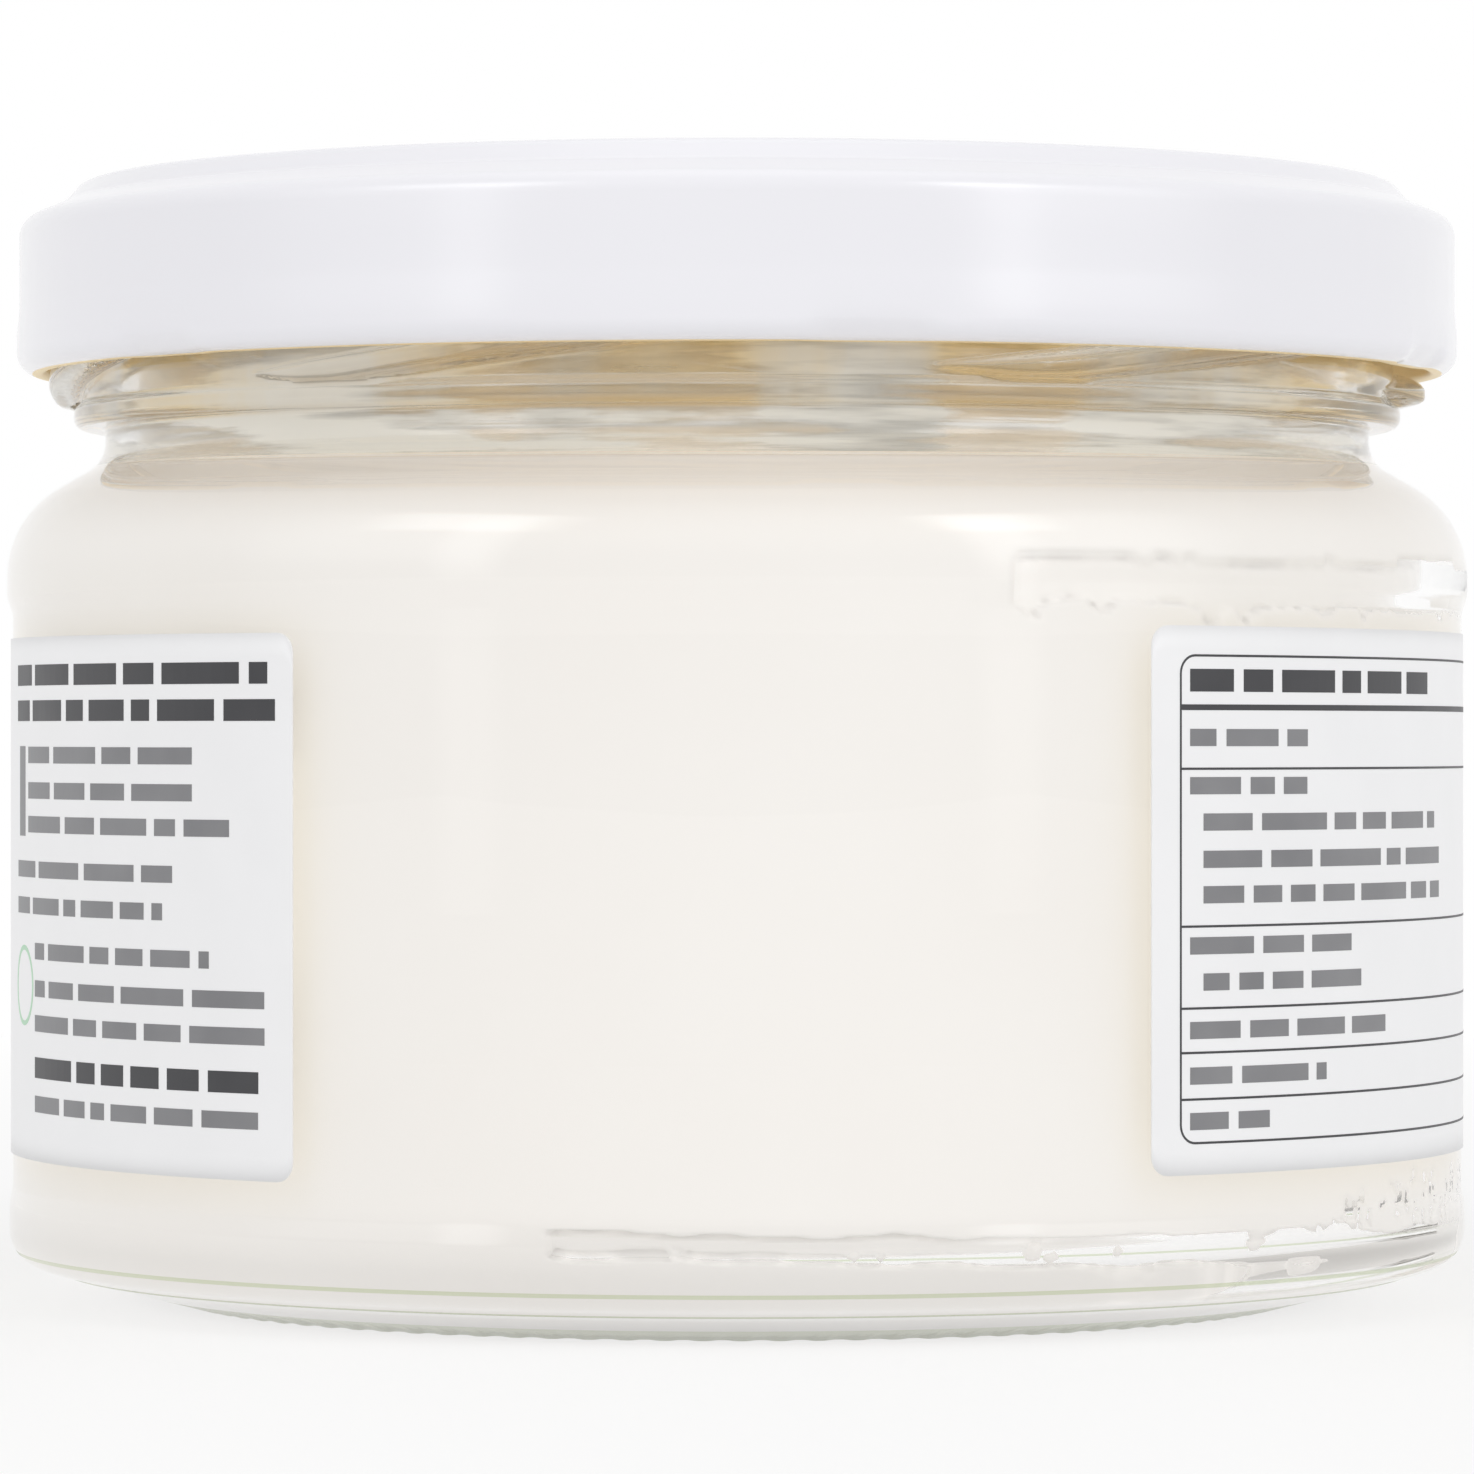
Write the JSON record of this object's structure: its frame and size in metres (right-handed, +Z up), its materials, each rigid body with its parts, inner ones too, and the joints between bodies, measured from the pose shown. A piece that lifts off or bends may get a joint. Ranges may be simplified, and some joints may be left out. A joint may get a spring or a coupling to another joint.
{
  "type": "coconut oil jar",
  "caption": "Wide, low clear glass jar of set coconut oil with a white twist-off metal lid and a plain wrap-round paper label.",
  "frame": {"origin": "middle of the base, on the surface that the jar stands on", "axes": "+Z up along the jar's axis, -Y towards the gap between the two ends of the label, +X to the right seen from there"},
  "size_m": [0.0866, 0.0866, 0.066],
  "materials": {
    "glass": "clear, polished",
    "oil": "set oil, waxy",
    "lid": "gloss white lacquer",
    "liner": "soft compound",
    "label": "coated paper"
  },
  "bodies": {
    "root": {"jar_glass": "glass", "coconut_oil": "oil", "lid": "lid", "lid_liner": "liner", "label": "label"}
  },
  "joints": []
}
